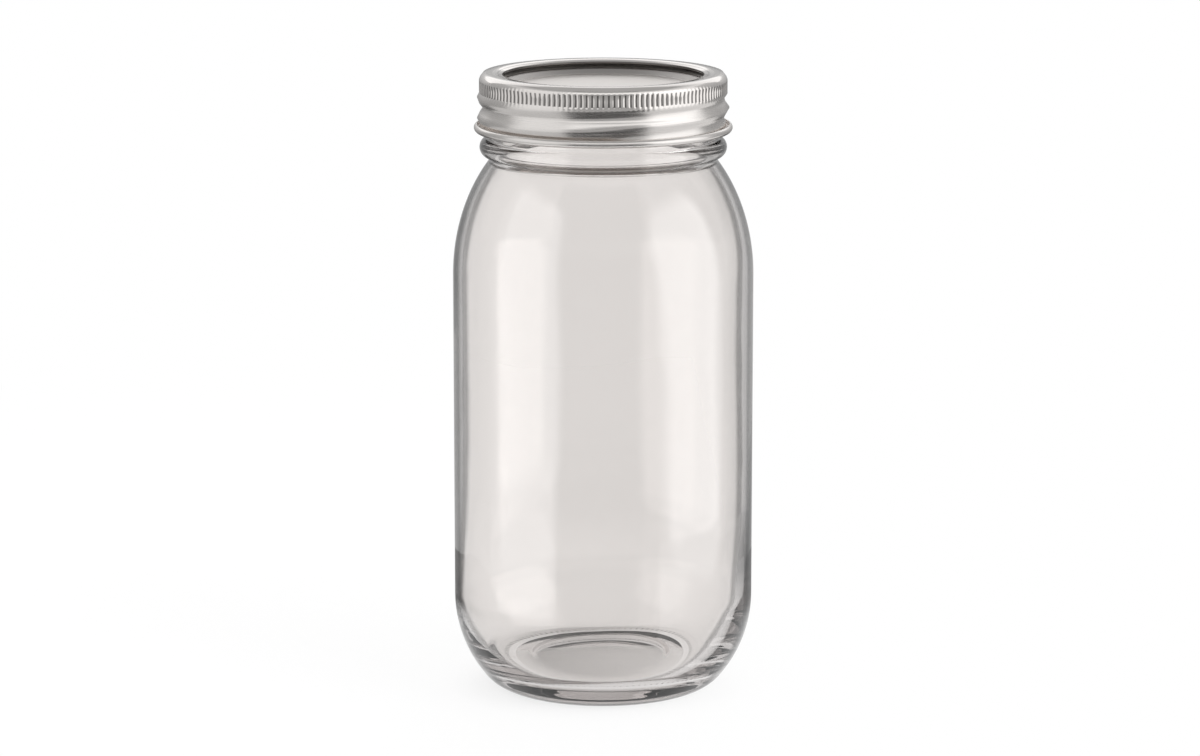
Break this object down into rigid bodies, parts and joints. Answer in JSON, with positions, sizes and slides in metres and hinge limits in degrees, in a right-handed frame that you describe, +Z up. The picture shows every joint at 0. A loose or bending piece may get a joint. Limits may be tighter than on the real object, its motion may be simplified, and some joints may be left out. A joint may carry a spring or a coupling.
{
  "type": "sourdough starter jar",
  "caption": "Clear glass preserving jar with a rounded heel and shoulder, closed by a flat metal disc with a sealing ring under a knurled screw band.",
  "frame": {"origin": "centre of the ring that the jar stands on", "axes": "+Z up along the jar's axis, from the base to the lid; +Y away from the viewer of the picture, +X to the right"},
  "size_m": [0.0878, 0.0878, 0.1821],
  "materials": {
    "clear_glass": "clear soda-lime glass, smooth and fire-polished, a faint warm grey where it is thick",
    "disc_tinplate": "satin tinplate sheet, slightly warm grey",
    "band_tinplate": "bright rolled tinplate, light drawing marks and rubbed knurls",
    "sealing_compound": "pale matt sealing compound"
  },
  "bodies": {
    "jar": {"glass_jar": "clear_glass"},
    "lid": {"lid_disc": "disc_tinplate", "sealing_gasket": "sealing_compound"},
    "band": {"screw_band": "band_tinplate"}
  },
  "joints": [
    {"name": "lid_lift", "type": "slide", "parent": "jar", "child": "lid", "axis": [0, 0, 1], "range_m": [0, 0.0407]},
    {"name": "band_turn", "type": "hinge", "parent": "lid", "child": "band", "pos_m": [0, 0, 0], "axis": [0, 0, 1], "range_deg": [0, 2880]}
  ],
  "couplings": [
    {"joint": "lid_lift", "follows": "band_turn", "m_per_rad": 0.00080851}
  ]
}
